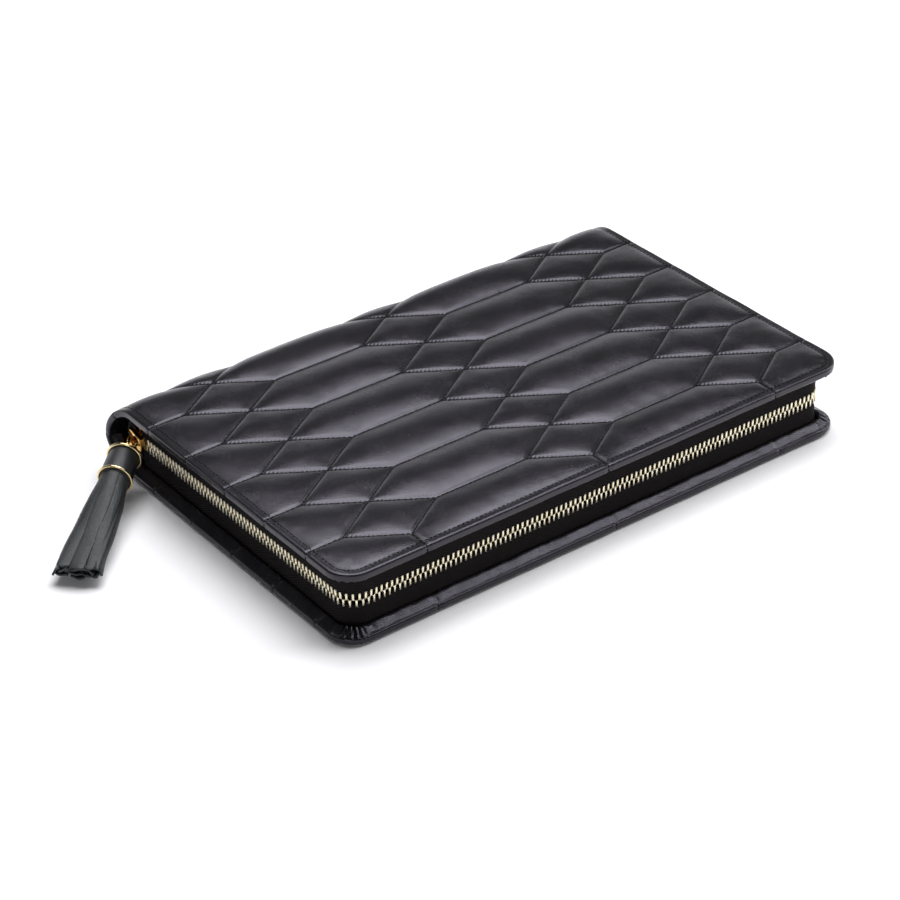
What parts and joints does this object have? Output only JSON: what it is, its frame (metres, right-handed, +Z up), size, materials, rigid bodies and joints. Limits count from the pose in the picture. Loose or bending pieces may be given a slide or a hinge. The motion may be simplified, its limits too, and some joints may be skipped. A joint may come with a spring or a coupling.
{
  "type": "leather jewellery case",
  "caption": "Flat zip-around jewellery case in quilted black leather, with a soft folding spine, gold zip and slider, leather tassel pull and suede-lined tray.",
  "frame": {"origin": "middle of the flat underside of the base panel, on the surface the shut case rests on", "axes": "+X along the spine, from the slider's end to the zip's closed end; -Y is the long front side; +Z up, out of the lid"},
  "size_m": [0.3242, 0.1724, 0.0342],
  "materials": {
    "case_leather": "smooth black nappa, semi-gloss",
    "tassel_leather": "smooth black, satin",
    "fringe_leather": "fine-grained black, satin",
    "bar_leather": "smooth black, satin",
    "wadding": "soft fibre wadding",
    "board": "plain grey board",
    "lining_suede": "black suedette, matt",
    "tray_suede": "black suedette, matt",
    "roll_suede": "black suedette, matt",
    "pocket_suede": "black suedette, matt",
    "elastic": "ribbed elastic, matt",
    "zip_tape": "black-brown twill, matt",
    "zip_metal": "pale gold, polished",
    "zip_stops": "pale gold, polished",
    "slider_gold": "gold plate, polished",
    "tassel_gold": "gold plate, polished",
    "hook_gold": "gold plate, polished"
  },
  "bodies": {
    "base": {"base_leather": "case_leather", "base_wadding": "wadding", "base_board": "board", "base_lining": "lining_suede", "zip_tape_lower": "zip_tape", "zip_teeth_lower": "zip_metal", "zip_stop_left_lower": "zip_stops", "zip_stop_right_lower": "zip_stops", "tray_wall_left": "tray_suede", "tray_wall_right": "tray_suede", "tray_wall_front": "tray_suede", "tray_wall_back": "tray_suede", "tray_divider_left": "tray_suede", "tray_divider_right": "tray_suede", "tray_divider_rings": "tray_suede", "tray_divider_middle": "tray_suede", "tray_divider_end": "tray_suede", "ring_roll_1": "roll_suede", "ring_roll_2": "roll_suede", "ring_roll_3": "roll_suede", "ring_roll_4": "roll_suede"},
    "spine": {"spine_leather": "case_leather", "spine_wadding": "wadding", "spine_lining": "lining_suede"},
    "lid": {"lid_leather": "case_leather", "lid_wadding": "wadding", "lid_board": "board", "lid_lining": "lining_suede", "zip_tape_upper": "zip_tape", "zip_teeth_upper": "zip_metal", "zip_stop_left_upper": "zip_stops", "zip_stop_right_upper": "zip_stops", "lid_pocket": "pocket_suede", "pocket_elastic": "elastic", "necklace_bar": "bar_leather", "necklace_hook_1": "hook_gold", "necklace_hook_2": "hook_gold", "necklace_hook_3": "hook_gold", "necklace_hook_4": "hook_gold", "necklace_hook_5": "hook_gold"},
    "slider": {"zip_slider": "slider_gold"},
    "pull": {"pull_link": "slider_gold"},
    "tassel": {"tassel_cap": "tassel_leather", "tassel_top_ring": "tassel_gold", "tassel_lower_ring": "tassel_gold", "tassel_eye": "tassel_gold", "tassel_fringe": "fringe_leather"}
  },
  "joints": [
    {"name": "spine_fold", "type": "hinge", "parent": "base", "child": "spine", "pos_m": [0, 0.08633, 0.00367], "axis": [-1, 0, 0], "range_deg": [0, 90]},
    {"name": "lid_fold", "type": "hinge", "parent": "spine", "child": "lid", "pos_m": [0, 0.08633, 0.03053], "axis": [-1, 0, 0], "range_deg": [0, 90]},
    {"name": "slider_run", "type": "slide", "parent": "base", "child": "slider", "axis": [0, -1, 0], "range_m": [0, 0.115], "deforming": ["zip_teeth_lower", "zip_teeth_upper"]},
    {"name": "pull_swing", "type": "hinge", "parent": "slider", "child": "pull", "pos_m": [-0.1276, 0.077, 0.0171], "axis": [0, 0, 1], "range_deg": [-65, 20]},
    {"name": "tassel_lift", "type": "hinge", "parent": "pull", "child": "tassel", "pos_m": [-0.13239, 0.07261, 0.0171], "axis": [-0.6756, 0.7373, 0], "range_deg": [0, 40]}
  ]
}
